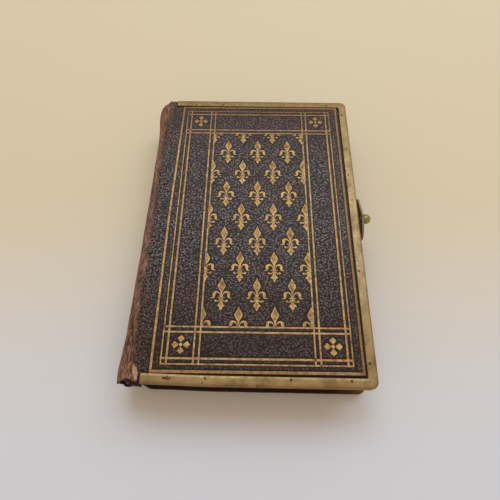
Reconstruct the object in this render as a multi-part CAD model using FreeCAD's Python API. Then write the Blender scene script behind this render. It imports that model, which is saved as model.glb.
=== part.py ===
"""Small prayer book: leather-covered boards with brass rims, a sewn text block and a hinged clasp.

Millimetres. The book lies closed on its lower cover: +Z is up, +X points to the fore-edge and the
clasp, +Y to the head. The origin is the centre of the lower cover's outer face.
"""
import FreeCAD, Part
import math
import os

V = FreeCAD.Vector

# the closed book
HEIGHT = 124.0            # head to tail, over the rims
THICKNESS = 20.0          # outer face to outer face
MID_Z = THICKNESS / 2
HALF_HEIGHT = HEIGHT / 2
FORE_EDGE_X = 39.0        # outer face of the fore-edge rims

# one cover, measured from its outer face inwards
COVER_T = 3.2
LEATHER_T = 0.8
PASTEDOWN_T = 0.15
LEATHER_SPINE_X = -39.4
BOARD_SPINE_X = -38.7
PASTEDOWN_GAP = 0.1

# brass rim: a channel round head, fore-edge and tail
RIM_START_X = -37.7
RIM_FACE = 3.3
RIM_INNER_LEG = 3.0
RIM_WALL = 0.5
RIM_CORNER_R = 2.5
RIM_EDGE_R = 0.6
RIM_GROOVE = 0.2          # gap that shows between rim and leather
PIN_R = 0.45
PIN_LENGTH = 2.4
PIN_INSET = 2.4
EDGE_PIN_X = (-29.0, -16.7, 10.8, 30.3)
FORE_PIN_Y = (-54.0, -21.4, 21.4, 54.0)

# text block
LEAF_HALF_HEIGHT = 60.0
LEAF_FORE_X = 36.5        # fore-edge of the outermost leaves
FORE_HOLLOW = 2.6         # depth of the concave fore-edge
SHOULDER_X = -39.0        # where the leaves turn out towards the back
FLYLEAF_T = 0.2
LEAF_GAP = 0.05
SECTIONS_PER_HALF = 4
SHOULDER_ANGLE = 78.0     # how far round the back the outermost leaf ends

# rounded back: nested elliptical rolls about one centre, each (half width, half height)
BACK_X = -40.5
LEAF_BACK = (4.1, 8.05)
TAPE_BACK = (4.35, 8.3)
LINING_BACK = (4.65, 8.6)
LEATHER_INNER = (4.9, 8.75)
LEATHER_OUTER = (5.7, 9.5)
SPINE_HALF_LENGTH = 61.4
# extra half width of the spine leather along its length: full at the caps, (y, extra)
SPINE_SWELL = (
    (-61.4, 1.6), (-57.0, 1.9), (-45.0, 0.95), (-20.0, 0.45),
    (15.0, 0.1), (45.0, 0.1), (57.0, 1.3), (61.4, 1.4),
)
JOINT_END_X = -39.6       # spine leather ends here, just short of the cover
JOINT_RISE = 0.45
TAPE_Y = (-38.0, 0.0, 38.0)
TAPE_W = 6.0
BAND_INNER = (2.9, 6.8)
BAND_H = 1.2

# clasp: pin axis beside the lower rim
CLASP_Y = 1.5
CLASP_AXIS_X = 40.2
CLASP_AXIS_Z = 1.6
CLASP_PIN_R = 0.4
CLASP_RUNNING = 0.05
KNUCKLE_R = 0.95
HINGE_HALF_L = 5.5
HASP_KNUCKLE_HALF_L = 2.4
KNUCKLE_GAP = 0.15
HINGE_PLATE_T = 0.2
HASP_HALF_W = 9.1
HASP_T = 0.7
HASP_BOW = 0.95
HASP_CLEARANCE = 0.2
HASP_TOP_Z = 19.6
HASP_SHOULDER_Z = 13.5
HASP_WAIST_Z = 5.0
HASP_WAIST_HALF_W = 4.2
KNOB_R = 1.95
KNOB_X = 42.0
KNOB_Z = 17.95
RIVET_R = 0.5
RIVET_HEAD_R = 0.9
RIVET_HEAD_T = 0.3


def box(x, y, z):
    """A box from (low, high) pairs."""
    return Part.makeBox(x[1] - x[0], y[1] - y[0], z[1] - z[0], V(x[0], y[0], z[0]))


def xz_prism(points, y):
    """A polygon in the XZ plane, run along Y between the two values of y."""
    corners = [V(px, y[0], pz) for px, pz in points]
    face = Part.Face(Part.makePolygon(corners + corners[:1]))
    return face.extrude(V(0, y[1] - y[0], 0))


def rod(radius, y, x, z):
    """A round rod along Y."""
    return Part.makeCylinder(radius, y[1] - y[0], V(x, y[0], z), V(0, 1, 0))


def to_upper(shape):
    """The same piece on the other cover."""
    return shape.mirror(V(0, 0, MID_Z), V(0, 0, 1))


# ---------------------------------------------------------------- covers

def cover_outline(start_x, inset, corner_r):
    """Plan of a cover, open-ended at the spine side, inset from the rim's outer edge."""
    x = FORE_EDGE_X - inset
    y = HALF_HEIGHT - inset
    if not corner_r:
        corners = [V(start_x, -y, 0), V(x, -y, 0), V(x, y, 0), V(start_x, y, 0)]
        return Part.makePolygon(corners + corners[:1])
    r = corner_r
    d = r * math.sqrt(0.5)
    low = Part.Arc(V(x - r, -y, 0), V(x - r + d, -y + r - d, 0), V(x, -y + r, 0))
    high = Part.Arc(V(x, y - r, 0), V(x - r + d, y - r + d, 0), V(x - r, y, 0))
    return Part.Wire([
        Part.makeLine(V(start_x, -y, 0), V(x - r, -y, 0)),
        low.toShape(),
        Part.makeLine(V(x, -y + r, 0), V(x, y - r, 0)),
        high.toShape(),
        Part.makeLine(V(x - r, y, 0), V(start_x, y, 0)),
        Part.makeLine(V(start_x, y, 0), V(start_x, -y, 0)),
    ])


def cover_layer(start_x, inset, corner_r, z):
    """A flat layer of a cover between the two values of z."""
    face = Part.Face(cover_outline(start_x, inset, corner_r))
    face.translate(V(0, 0, z[0]))
    return face.extrude(V(0, 0, z[1] - z[0]))


def rim_pins():
    """Small pins, driven through the rim's outer leg into the board."""
    edge_y = HALF_HEIGHT - PIN_INSET
    places = [(x, side * edge_y) for side in (-1, 1) for x in EDGE_PIN_X]
    places += [(FORE_EDGE_X - PIN_INSET, y) for y in FORE_PIN_Y]
    return Part.makeCompound([Part.makeCylinder(PIN_R, PIN_LENGTH, V(x, y, 0)) for x, y in places])


def rim():
    """Brass channel: outer leg, edge wall and a shorter inner leg."""
    outer = cover_layer(RIM_START_X, 0, RIM_CORNER_R, (0, COVER_T))
    edges = [e for e in outer.Edges if is_rim_arris(e)]
    outer = outer.makeFillet(RIM_EDGE_R, edges)
    beyond = RIM_START_X - 1
    legs_z = (RIM_WALL, COVER_T - RIM_WALL)
    board_space = cover_layer(beyond, RIM_WALL, RIM_CORNER_R - RIM_WALL, legs_z)
    outer_window = cover_layer(beyond, RIM_FACE, 0, (-1, RIM_WALL))
    inner_window = cover_layer(beyond, RIM_INNER_LEG, 0, (legs_z[1], COVER_T + 1))
    return outer.cut([board_space, outer_window, inner_window, rim_pins()])


def is_rim_arris(edge):
    """True for the rounded outer arris along tail, corner, fore-edge and head."""
    at_face = all(abs(v.Z) < 1e-6 for v in edge.Vertexes)
    at_start = all(abs(v.X - RIM_START_X) < 1e-6 for v in edge.Vertexes)
    return at_face and not at_start


def board():
    """Millboard core, held inside the rim's channel."""
    core_z = (LEATHER_T, COVER_T - RIM_WALL)
    core = cover_layer(BOARD_SPINE_X, RIM_WALL, RIM_CORNER_R - RIM_WALL, core_z)
    pad = cover_layer(BOARD_SPINE_X, RIM_INNER_LEG, 0, (core_z[1], COVER_T - PASTEDOWN_T))
    return core.fuse(pad).cut(rim_pins()).removeSplitter()


def cover_leather():
    """Leather face of a cover: a panel inside the rim and a flange under the rim's outer leg."""
    panel = cover_layer(LEATHER_SPINE_X, RIM_FACE + RIM_GROOVE, 0, (0, LEATHER_T))
    flange_r = RIM_CORNER_R - RIM_WALL
    flange = cover_layer(LEATHER_SPINE_X, RIM_WALL, flange_r, (RIM_WALL, LEATHER_T))
    end_x = (LEATHER_SPINE_X, RIM_START_X - RIM_GROOVE)
    end_y = HALF_HEIGHT - RIM_WALL
    spine_end = box(end_x, (-end_y, end_y), (0, LEATHER_T))
    return panel.fuse([flange, spine_end]).cut(rim_pins()).removeSplitter()


def pastedown():
    """Endpaper leaf glued to the inside of a board."""
    inset = RIM_INNER_LEG + PASTEDOWN_GAP
    return cover_layer(BOARD_SPINE_X, inset, 0, (COVER_T - PASTEDOWN_T, COVER_T))


# ---------------------------------------------------------------- text block

def roll(half_sizes, y):
    """An elliptical roll along Y about the back's centre."""
    half_w, half_h = half_sizes
    top = V(BACK_X, y[0], MID_Z + half_h)
    side = V(BACK_X - half_w, y[0], MID_Z)
    ellipse = Part.Ellipse(top, side, V(BACK_X, y[0], MID_Z))
    return Part.Face(Part.Wire(ellipse.toShape())).extrude(V(0, y[1] - y[0], 0))


def back_shell(outer, inner, y):
    """Upper half of the shell between two rolls, from the middle of the back to the shoulder."""
    fan = back_fan(0, 1, y)
    return roll(outer, y).cut(roll(inner, y)).common(fan)


def sections_half_thickness():
    """Half the thickness of the sewn sections at the fore-edge."""
    return MID_Z - COVER_T - FLYLEAF_T - 2 * LEAF_GAP


def leaf_z(t):
    """Height of the leaf at fraction t of the upper half."""
    return MID_Z + t * sections_half_thickness()


def leaf_fore_x(t):
    """Fore-edge of the leaf at fraction t: hollow in the middle of the block."""
    return LEAF_FORE_X - FORE_HOLLOW * (1 - t * t)


def fan_ray(t):
    """From the shoulder line out through the back at fraction t of the upper half."""
    angle = math.radians(SHOULDER_ANGLE * t)
    start = (SHOULDER_X, leaf_z(t))
    back = (BACK_X - LEAF_BACK[0] * math.cos(angle), MID_Z + LEAF_BACK[1] * math.sin(angle))
    reach = 2
    end = (start[0] + reach * (back[0] - start[0]), start[1] + reach * (back[1] - start[1]))
    return start, end


def back_fan(t_low, t_high, y):
    """Wedge between two rays, from the shoulder line out past the back."""
    start_low, end_low = fan_ray(t_low)
    start_high, end_high = fan_ray(t_high)
    return xz_prism([start_low, start_high, end_high, end_low], y)


def section(index):
    """One folded gathering of the upper half, counted from the middle of the book."""
    t_low = index / SECTIONS_PER_HALF
    t_high = (index + 1) / SECTIONS_PER_HALF
    y = (-LEAF_HALF_HEIGHT, LEAF_HALF_HEIGHT)
    t_mid = (t_low + t_high) / 2
    fore = [V(leaf_fore_x(t), y[0], leaf_z(t)) for t in (t_low, t_mid, t_high)]
    inner = [V(SHOULDER_X, y[0], leaf_z(t)) for t in (t_low, t_high)]
    outline = Part.Wire([
        Part.Arc(*fore).toShape(),
        Part.makeLine(fore[2], inner[1]),
        Part.makeLine(inner[1], inner[0]),
        Part.makeLine(inner[0], fore[0]),
    ])
    leaves = Part.Face(outline).extrude(V(0, y[1] - y[0], 0))
    folds = back_fan(t_low, t_high, y).common(roll(LEAF_BACK, y))
    return leaves.fuse(folds).removeSplitter()


def sewing_tapes():
    """Linen tapes across the backs of the sections."""
    return Part.makeCompound([
        back_shell(TAPE_BACK, LEAF_BACK, (y - TAPE_W / 2, y + TAPE_W / 2)) for y in TAPE_Y
    ])


def spine_lining():
    """Mull and paper glued over the tapes."""
    return back_shell(LINING_BACK, TAPE_BACK, (-LEAF_HALF_HEIGHT, LEAF_HALF_HEIGHT))


def endbands():
    """Worked bands at head and tail, standing on the ends of the back."""
    start = LEAF_HALF_HEIGHT
    head = back_shell(LEAF_BACK, BAND_INNER, (start, start + BAND_H))
    tail = back_shell(LEAF_BACK, BAND_INNER, (-start - BAND_H, -start))
    return Part.makeCompound([head, tail])


def spine_section(y, extra):
    """Outline of the spine leather's round at one place along it."""
    outer_w, outer_h = LEATHER_OUTER
    inner_w, inner_h = LEATHER_INNER

    def quarter(half_w, half_h):
        centre = V(BACK_X, y, MID_Z)
        major = V(BACK_X, y, MID_Z + half_h)
        side = V(BACK_X - half_w - extra, y, MID_Z)
        ellipse = Part.Ellipse(major, side, centre)
        return Part.ArcOfEllipse(ellipse, 0, math.pi / 2).toShape()

    outer = quarter(outer_w, outer_h)
    inner = quarter(inner_w, inner_h)
    crown = Part.makeLine(V(BACK_X, y, MID_Z + inner_h), V(BACK_X, y, MID_Z + outer_h))
    middle = Part.makeLine(V(BACK_X - outer_w - extra, y, MID_Z), V(BACK_X - inner_w - extra, y, MID_Z))
    return Part.Wire(Part.__sortEdges__([outer, middle, inner, crown]))


def spine_leather():
    """Upper half of the rounded spine, with its joint leather running up to the cover."""
    stretches = []
    for near, far in zip(SPINE_SWELL, SPINE_SWELL[1:]):
        stretches.append(Part.makeLoft([spine_section(*near), spine_section(*far)], True, True))
    low = MID_Z + LEATHER_INNER[1]
    high = MID_Z + LEATHER_OUTER[1]
    joint = xz_prism([
        (BACK_X, low),
        (BACK_X, high),
        (JOINT_END_X, high + JOINT_RISE),
        (JOINT_END_X, low + JOINT_RISE),
    ], (-SPINE_HALF_LENGTH, SPINE_HALF_LENGTH))
    return joint.fuse(stretches).removeSplitter()


def flyleaf():
    """Loose endpaper leaf under the upper cover."""
    top = THICKNESS - COVER_T - LEAF_GAP
    y = (-LEAF_HALF_HEIGHT, LEAF_HALF_HEIGHT)
    return box((SHOULDER_X, LEAF_FORE_X), y, (top - FLYLEAF_T, top))


# ---------------------------------------------------------------- clasp

def clasp_rod(radius, y_from, y_to):
    """A rod on the clasp's pin axis, placed from the clasp's middle."""
    return rod(radius, (CLASP_Y + y_from, CLASP_Y + y_to), CLASP_AXIS_X, CLASP_AXIS_Z)


def clasp_pin():
    """Hinge pin of the clasp."""
    return clasp_rod(CLASP_PIN_R, -HINGE_HALF_L, HINGE_HALF_L)


def pin_bore():
    """Running bore for the hinge pin."""
    return clasp_rod(CLASP_PIN_R + CLASP_RUNNING, -HASP_HALF_W, HASP_HALF_W)


def clasp_hinge():
    """Plate soldered to the lower rim, with the two outer knuckles."""
    plate_z = (RIM_EDGE_R, COVER_T - RIM_WALL)
    plate_x = (FORE_EDGE_X, FORE_EDGE_X + HINGE_PLATE_T)
    plate = box(plate_x, (CLASP_Y - HINGE_HALF_L, CLASP_Y + HINGE_HALF_L), plate_z)
    pieces = []
    knuckle_start = HASP_KNUCKLE_HALF_L + KNUCKLE_GAP
    for y_from, y_to in ((-HINGE_HALF_L, -knuckle_start), (knuckle_start, HINGE_HALF_L)):
        pieces.append(clasp_rod(KNUCKLE_R, y_from, y_to))
        web_z = (CLASP_AXIS_Z - KNUCKLE_R, CLASP_AXIS_Z)
        web_y = (CLASP_Y + y_from, CLASP_Y + y_to)
        pieces.append(box((FORE_EDGE_X, CLASP_AXIS_X), web_y, web_z))
    return plate.fuse(pieces).cut(pin_bore()).removeSplitter()


def hasp_outline():
    """Front view of the hasp: a narrow root, swelling to a broad rounded thumb-piece."""
    root_w = HASP_KNUCKLE_HALF_L
    shoulder_top = HASP_TOP_Z - 1.3
    crown_w = HASP_HALF_W - 0.6
    mid_z = (HASP_WAIST_Z + HASP_SHOULDER_Z) / 2
    mid_w = HASP_WAIST_HALF_W + 0.22 * (HASP_HALF_W - HASP_WAIST_HALF_W)

    def at(y, z):
        return V(0, CLASP_Y + y, z)

    def side(s):
        flare = Part.Arc(
            at(s * HASP_WAIST_HALF_W, HASP_WAIST_Z),
            at(s * mid_w, mid_z),
            at(s * HASP_HALF_W, HASP_SHOULDER_Z),
        ).toShape()
        return [
            Part.makeLine(at(s * root_w, CLASP_AXIS_Z), at(s * root_w, HASP_WAIST_Z - 1.5)),
            Part.makeLine(at(s * root_w, HASP_WAIST_Z - 1.5), at(s * HASP_WAIST_HALF_W, HASP_WAIST_Z)),
            flare,
            Part.makeLine(at(s * HASP_HALF_W, HASP_SHOULDER_Z), at(s * HASP_HALF_W, shoulder_top)),
            Part.makeLine(at(s * HASP_HALF_W, shoulder_top), at(s * crown_w, shoulder_top + 0.6)),
        ]

    crown = Part.Arc(
        at(-crown_w, shoulder_top + 0.6), at(0, HASP_TOP_Z), at(crown_w, shoulder_top + 0.6)
    ).toShape()
    root = Part.makeLine(at(-root_w, CLASP_AXIS_Z), at(root_w, CLASP_AXIS_Z))
    edges = side(-1) + [crown] + side(1) + [root]
    return Part.Wire(Part.__sortEdges__(edges))


def hasp():
    """Bowed plate, cut to its outline, with the middle knuckle of the hinge."""
    inner_x = FORE_EDGE_X + HASP_CLEARANCE
    bow_r = (HASP_HALF_W ** 2 + HASP_BOW ** 2) / (2 * HASP_BOW)
    centre = V(inner_x + HASP_BOW - bow_r, CLASP_Y, CLASP_AXIS_Z)
    height = HASP_TOP_Z - CLASP_AXIS_Z
    sheet = Part.makeCylinder(bow_r + HASP_T, height, centre)
    sheet = sheet.cut(Part.makeCylinder(bow_r, height, centre))
    front = Part.Face(hasp_outline())
    front.translate(V(inner_x - 0.2, 0, 0))
    plate = sheet.common(front.extrude(V(3, 0, 0)))
    knuckle = clasp_rod(KNUCKLE_R, -HASP_KNUCKLE_HALF_L, HASP_KNUCKLE_HALF_L)
    rivet_hole = Part.makeCylinder(RIVET_R, 6, V(inner_x - 1, CLASP_Y, KNOB_Z), V(1, 0, 0))
    return plate.fuse(knuckle).cut([pin_bore(), rivet_hole]).removeSplitter()


def knob():
    """Ball knob with its rivet shank through the hasp, peened over inside."""
    inner_x = FORE_EDGE_X + HASP_CLEARANCE + HASP_BOW
    head_start = inner_x - RIVET_HEAD_T
    ball = Part.makeSphere(KNOB_R, V(KNOB_X, CLASP_Y, KNOB_Z))
    axis = V(1, 0, 0)
    shank = Part.makeCylinder(RIVET_R, KNOB_X - head_start, V(head_start, CLASP_Y, KNOB_Z), axis)
    head = Part.makeCylinder(RIVET_HEAD_R, RIVET_HEAD_T, V(head_start, CLASP_Y, KNOB_Z), axis)
    return ball.fuse([shank, head]).cut(hasp()).removeSplitter()


def build():
    """Every piece of the book, by node name."""
    cover_pieces = {
        "board": board(),
        "leather": cover_leather(),
        "rim": rim(),
        "rim_pins": rim_pins(),
        "pastedown": pastedown(),
    }
    back_pieces = {
        "sewing_tapes": sewing_tapes(),
        "spine_lining": spine_lining(),
        "endbands": endbands(),
        "spine_leather": spine_leather(),
        "flyleaf": flyleaf(),
    }
    parts = {}
    for name, shape in cover_pieces.items():
        parts[f"lower_{name}"] = shape
        parts[f"upper_{name}"] = to_upper(shape)
    for name, shape in back_pieces.items():
        parts[f"front_{name}"] = shape
        parts[f"rear_{name}"] = to_upper(shape)
    for index in range(SECTIONS_PER_HALF):
        shape = section(index)
        parts[f"front_section_{index + 1}"] = shape
        parts[f"rear_section_{index + 1}"] = to_upper(shape)
    parts["clasp_hinge"] = clasp_hinge()
    parts["clasp_pin"] = clasp_pin()
    parts["clasp_hasp"] = hasp()
    parts["clasp_knob"] = knob()
    return parts


os.makedirs("parts", exist_ok=True)
for node, shape in build().items():
    shape.exportStep(f"parts/{node}.step")
    print(f"{node}: {len(shape.Solids)} solid(s), {shape.Volume:.1f} mm3, valid {shape.isValid()}")
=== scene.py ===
"""Looks of the small prayer book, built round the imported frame. Shapes are worked out in millimetres."""
import bpy
import math
import numpy as np
from mathutils import Matrix, Vector, noise


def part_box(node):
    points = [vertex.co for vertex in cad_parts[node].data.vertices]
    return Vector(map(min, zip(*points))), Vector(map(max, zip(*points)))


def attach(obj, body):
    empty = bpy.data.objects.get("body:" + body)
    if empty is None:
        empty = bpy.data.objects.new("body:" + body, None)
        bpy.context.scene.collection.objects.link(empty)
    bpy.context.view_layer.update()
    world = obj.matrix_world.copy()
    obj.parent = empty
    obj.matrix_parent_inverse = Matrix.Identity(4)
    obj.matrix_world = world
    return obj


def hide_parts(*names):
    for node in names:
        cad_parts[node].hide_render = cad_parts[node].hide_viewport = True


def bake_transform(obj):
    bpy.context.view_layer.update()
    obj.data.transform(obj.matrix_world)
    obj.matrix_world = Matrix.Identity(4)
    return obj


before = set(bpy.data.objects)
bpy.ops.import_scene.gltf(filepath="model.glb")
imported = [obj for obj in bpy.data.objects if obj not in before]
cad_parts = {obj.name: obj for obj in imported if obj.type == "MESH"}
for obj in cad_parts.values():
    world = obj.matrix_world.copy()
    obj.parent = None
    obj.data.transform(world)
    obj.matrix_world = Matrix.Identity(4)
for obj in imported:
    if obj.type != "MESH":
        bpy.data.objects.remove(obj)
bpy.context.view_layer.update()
MM = 0.001


def box_mm(node):
    """Lowest and highest corner of a CAD node, in millimetres."""
    low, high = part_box(node)
    return low / MM, high / MM


# ------------ sizes from the frame
RIM_LOW, RIM_HIGH = box_mm("upper_rim")
PANEL_LOW, PANEL_HIGH = box_mm("upper_leather")
SPINE_LOW, SPINE_HIGH = box_mm("front_spine_leather")
FLYLEAF_LOW, FLYLEAF_HIGH = box_mm("front_flyleaf")

TOP_Z = RIM_HIGH.z
MID_Z = TOP_Z / 2
HALF_H = RIM_HIGH.y
FORE_X = RIM_HIGH.x
RIM_START_X = RIM_LOW.x
COVER_T = RIM_HIGH.z - RIM_LOW.z
LEATHER_T = PANEL_HIGH.z - PANEL_LOW.z
LEAF_HALF_H = box_mm("front_section_4")[1].y
MIDDLE_LEAF_X = box_mm("front_section_1")[1].x
SHOULDER_X = FLYLEAF_LOW.x

# sizes of the design that no box gives
RIM_FACE = 3.3
RIM_INNER_LEG = 3.0
RIM_WALL = 0.5
RIM_CORNER_R = 2.5
RIM_GROOVE = 0.2
BACK_X = -40.5
BACK_LEAF_HALF_W = 4.1
BACK_LEAF_HALF_H = 8.05
SHOULDER_ANGLE = 78.0
JOIN_X = -38.6            # the panel and the joint leather meet here

# ------------ camera
CAMERA_PLACE = (-1.8, -73.9, 146.2)
CAMERA_DOWN = 64.52
CAMERA_YAW = -1.29
CAMERA_ROLL = -0.21
CAMERA_LENS = 27.0


def make_camera():
    """Handheld view from above the tail, looking down along the book."""
    data = bpy.data.cameras.new("camera")
    data.sensor_width = 36.0
    data.lens = CAMERA_LENS
    data.clip_start = 0.005
    camera = bpy.data.objects.new("camera", data)
    pose = Matrix.Translation(Vector(CAMERA_PLACE) * MM)
    for degrees, axis in ((-CAMERA_YAW, "Z"), (90 - CAMERA_DOWN, "X"), (CAMERA_ROLL, "Z")):
        pose = pose @ Matrix.Rotation(math.radians(degrees), 4, axis)
    camera.matrix_world = pose
    bpy.context.scene.collection.objects.link(camera)
    bpy.context.scene.camera = camera


# ------------ mesh helpers
def add_mesh(name, verts, faces, materials, material_index=None, smooth=True):
    """A mesh object from points in millimetres."""
    mesh = bpy.data.meshes.new(name)
    mesh.from_pydata((np.asarray(verts, float) * MM).tolist(), [], [list(map(int, f)) for f in faces])
    for material in materials:
        mesh.materials.append(material)
    if material_index is not None:
        mesh.polygons.foreach_set("material_index", np.asarray(material_index, np.int32))
    mesh.polygons.foreach_set("use_smooth", [smooth] * len(mesh.polygons))
    mesh.update()
    piece = bpy.data.objects.new(name, mesh)
    bpy.context.scene.collection.objects.link(piece)
    return piece


def grid_faces(rows, columns, first=0, flip=False):
    """Quads of a rows by columns grid of points."""
    i, j = np.meshgrid(np.arange(rows - 1), np.arange(columns - 1), indexing="ij")
    a = (first + i * columns + j).ravel()
    quads = np.stack([a, a + columns, a + columns + 1, a + 1], 1)
    return quads[:, ::-1] if flip else quads


def tube_faces(rings, around, first=0, flip=False):
    """Quads between closed rings that have the same number of points."""
    faces = []
    for i in range(rings - 1):
        near, far = first + i * around, first + (i + 1) * around
        for j in range(around):
            a, b = j, (j + 1) % around
            if flip:
                a, b = b, a
            faces.append([near + a, near + b, far + b, far + a])
    return faces


def closed_shell(outer, inner):
    """Points and faces of a closed shell between two grids of the same size."""
    rows, columns = outer.shape[:2]
    count = rows * columns
    verts = np.concatenate([outer.reshape(-1, 3), inner.reshape(-1, 3)])
    faces = [*grid_faces(rows, columns), *grid_faces(rows, columns, count, True)]
    index = np.arange(count).reshape(rows, columns)
    ring = [*index[0, :-1], *index[:-1, -1], *index[-1, :0:-1], *index[:0:-1, 0]]
    for a, b in zip(ring, ring[1:] + ring[:1]):
        faces.append([a, b, b + count, a + count])
    return verts, faces


def closed_plate(top, keep, base_z):
    """Points and faces of the kept cells of a height grid, walled down to one flat base."""
    rows, columns = top.shape[:2]
    quads = grid_faces(rows, columns)[keep.ravel()]
    used = np.unique(quads)
    renumber = np.full(rows * columns, -1)
    renumber[used] = np.arange(len(used))
    quads = renumber[quads]
    verts = top.reshape(-1, 3)[used]
    edges = dict.fromkeys(pair for quad in quads.tolist() for pair in zip(quad, quad[1:] + quad[:1]))
    after = {a: b for a, b in edges if (b, a) not in edges}
    start = next(iter(after))
    ring = [start]
    while after[ring[-1]] != start:
        ring.append(after[ring[-1]])
    count = len(verts)
    low = verts[ring].copy()
    low[:, 2] = base_z
    faces = quads.tolist()
    size = len(ring)
    for k in range(size):
        n = (k + 1) % size
        faces.append([ring[n], ring[k], count + k, count + n])
    faces.append(list(range(count, count + size)))
    return np.concatenate([verts, low]), faces


def to_lower(verts, faces):
    """The same piece turned over onto the lower cover."""
    verts = np.asarray(verts, float).copy()
    verts[:, 2] = TOP_Z - verts[:, 2]
    return verts, [list(f)[::-1] for f in faces]


def smoothstep(x, low, high):
    t = np.clip((np.asarray(x, float) - low) / (high - low), 0, 1)
    return t * t * (3 - 2 * t)


def noise_at(points, size, seed=0.0):
    """Smooth noise from -1 to 1 at each point, with features of that size in millimetres."""
    shift = Vector((seed, seed * 1.7, seed * 0.3))
    return np.array([noise.noise(Vector(p) / size + shift) for p in points.tolist()])


def pebbles_at(points, size):
    """Domes from 0 to 1 with creases between them, like a pebbled grain."""
    found = []
    for p in points.tolist():
        distances = noise.voronoi(Vector(p) / size)[0]
        found.append(distances[1] - distances[0])
    return np.sqrt(np.clip(np.array(found) * 1.6, 0, 1))


# ------------ material helpers
ROLL_OUT = 0.9            # share of the height that is added to x where the grain runs round the back


class Shader:
    """A node material built by short calls. Places are in millimetres in the book's frame."""

    def __init__(self, name):
        self.material = bpy.data.materials.new(name)
        self.material.use_nodes = True
        self.tree = self.material.node_tree
        self.tree.nodes.clear()
        self.surface = self.node("BsdfPrincipled")
        self.node("OutputMaterial", {"Surface": self.surface.outputs["BSDF"]})
        coordinates = self.node("TexCoord")
        self.place = self.vector("SCALE", coordinates.outputs["Object"], scale=1 / MM)
        self.x, self.y, self.z = self.node("SeparateXYZ", {0: self.place}).outputs
        self.turned = self.node("CombineXYZ", {0: self.z}).outputs[0]

    def fill(self, node, inputs):
        """Links or sets inputs, found by name or number. None leaves an input as it is."""
        for key, value in inputs.items():
            if isinstance(value, bpy.types.NodeSocket):
                self.tree.links.new(value, node.inputs[key])
            elif isinstance(value, tuple) and node.inputs[key].type == "RGBA":
                node.inputs[key].default_value = (*value, 1)
            elif value is not None:
                node.inputs[key].default_value = value

    def node(self, kind, inputs=None, **settings):
        """A new node with its settings and inputs."""
        node = self.tree.nodes.new(f"ShaderNode{kind}")
        for name, value in settings.items():
            setattr(node, name, value)
        self.fill(node, inputs or {})
        return node

    def vector(self, operation, a, b=None, scale=None):
        return self.node("VectorMath", {0: a, 1: b, "Scale": scale}, operation=operation).outputs[0]

    def math(self, operation, a, b=0.0, clamp=False):
        return self.node("Math", {0: a, 1: b}, operation=operation, use_clamp=clamp).outputs[0]

    def plus(self, a, b, clamp=False):
        return self.math("ADD", a, b, clamp)

    def minus(self, a, b):
        return self.math("SUBTRACT", a, b)

    def times(self, a, b):
        return self.math("MULTIPLY", a, b)

    def larger(self, a, b):
        return self.math("MAXIMUM", a, b)

    def absolute(self, a):
        return self.math("ABSOLUTE", a)

    def rest(self, share):
        """What a share leaves of one."""
        return self.math("SUBTRACT", 1.0, share)

    def depth(self):
        """Distance below the nearer outer face of the book."""
        return self.minus(MID_Z, self.absolute(self.minus(self.z, MID_Z)))

    def step(self, value, low, high, to_low=0.0, to_high=1.0):
        """Smooth step of a value from low to high."""
        inputs = dict(enumerate((value, low, high, to_low, to_high)))
        return self.node("MapRange", inputs, interpolation_type="SMOOTHSTEP").outputs[0]

    def noise(self, size, detail=2.0, roughness=0.5, stretch=(1, 1, 1), shift=0.0):
        """Noise with features of that size in millimetres."""
        moved = self.vector("ADD", self.place, (shift, shift * 0.7, shift * 0.3))
        inputs = {"Vector": self.vector("MULTIPLY", moved, stretch), "Scale": 1 / size}
        return self.node("TexNoise", {**inputs, "Detail": detail, "Roughness": roughness}).outputs[0]

    def cells(self, size, warp=0.0, rolled_out=False):
        """Distance from the middles of cells of that size, in space or rolled out on the leather."""
        place = self.place
        if rolled_out:
            place = self.vector("ADD", place, self.vector("MULTIPLY", self.turned, (ROLL_OUT, 0, 0)))
        if warp:
            bent = self.node("TexNoise", {"Vector": self.place, "Scale": 0.8 / size})
            place = self.vector("ADD", place, self.vector("SCALE", bent.outputs["Color"], scale=warp))
        dimensions = "2D" if rolled_out else "3D"
        node = self.node("TexVoronoi", {"Vector": place, "Scale": 1 / size}, voronoi_dimensions=dimensions)
        return node.outputs["Distance"]

    def mix(self, share, a, b):
        """Colour a at share 0 and colour b at share 1."""
        return self.node("Mix", {"Factor": share, 6: a, 7: b}, data_type="RGBA").outputs[2]

    def tint(self, color, share, amount, other):
        """Moves a colour towards another by a share, at most by the amount."""
        return self.mix(self.times(share, amount), color, other)

    def bump(self, height, depth, strength=1.0, under=None):
        """Bump of that depth in millimetres."""
        inputs = {"Height": height, "Distance": depth * MM, "Strength": strength, "Normal": under}
        return self.node("Bump", inputs).outputs[0]

    def finish(self, color, roughness, metallic=0.0, normal=None, **others):
        """The finished material. Others are inputs of the surface, with _ for each space."""
        inputs = {"Base Color": color, "Roughness": roughness, "Metallic": metallic, "Normal": normal}
        inputs.update({name.replace("_", " "): value for name, value in others.items()})
        self.fill(self.surface, inputs)
        return self.material


# ------------ materials
# where the leather is worn: the wear grows from the first place of each pair to the second
SUEDE_X = (JOIN_X - 1.7, JOIN_X - 3.6)
SUEDE_Z = (6.0, 13.0)
SUEDE_END_X = (JOIN_X + 1.0, JOIN_X - 1.8)
SUEDE_END_Y = (HALF_H - 12.0, HALF_H - 2.0)
RUBBED_X = (FORE_X - 6.5, FORE_X - 3.6)
RUBBED_Y = (HALF_H - 6.5, HALF_H - 3.2)
STREAKED_X = (FORE_X - 9.5, FORE_X - 6.0)
BROWNER_Y = (18, 50)
BROWNEST_Y = (48, 60)
# the grain, the band about the middle of the cover where the crests get painted glints and more gloss, and
# the depth from which pressed grooves and deep creases get painted shade
CREST_SIZE = 0.86
SHEEN_MIDDLE_Y = 6.0
SHEEN_REACH = (58, 14)
SUNK_DEPTH = (0.095, 0.14)
NEAR_BLACK = (0.006, 0.004, 0.004)


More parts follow.
